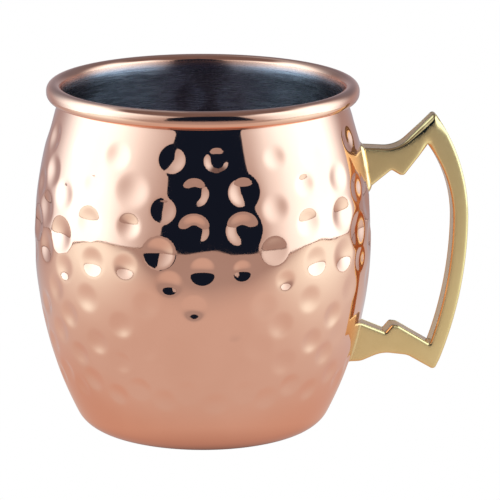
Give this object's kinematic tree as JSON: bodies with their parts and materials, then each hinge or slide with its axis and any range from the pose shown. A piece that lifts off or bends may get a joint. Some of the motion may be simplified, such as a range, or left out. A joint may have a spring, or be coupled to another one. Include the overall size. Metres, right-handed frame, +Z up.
{
  "type": "copper mug",
  "caption": "Barrel-shaped hammered copper mug with a steel lining, a rolled copper rim and an angular cast brass handle on one side.",
  "frame": {"origin": "the middle of the base, on the plane that the mug rests on", "axes": "+Z up along the cup's axis, +X from the cup's axis towards the handle, +Y square to both"},
  "size_m": [0.1188, 0.0918, 0.095],
  "materials": {
    "hammered_copper": "hammered and mirror polished copper",
    "lining_steel": "satin, with fine turned lines round the cup",
    "rim_copper": "polished copper",
    "cast_brass": "cast, tumbled and polished to a soft satin",
    "brazing_metal": "polished"
  },
  "bodies": {
    "root": {"outer_shell": "hammered_copper", "inner_liner": "lining_steel", "rolled_rim": "rim_copper", "handle": "cast_brass", "upper_braze": "brazing_metal", "lower_braze": "brazing_metal"}
  },
  "joints": []
}
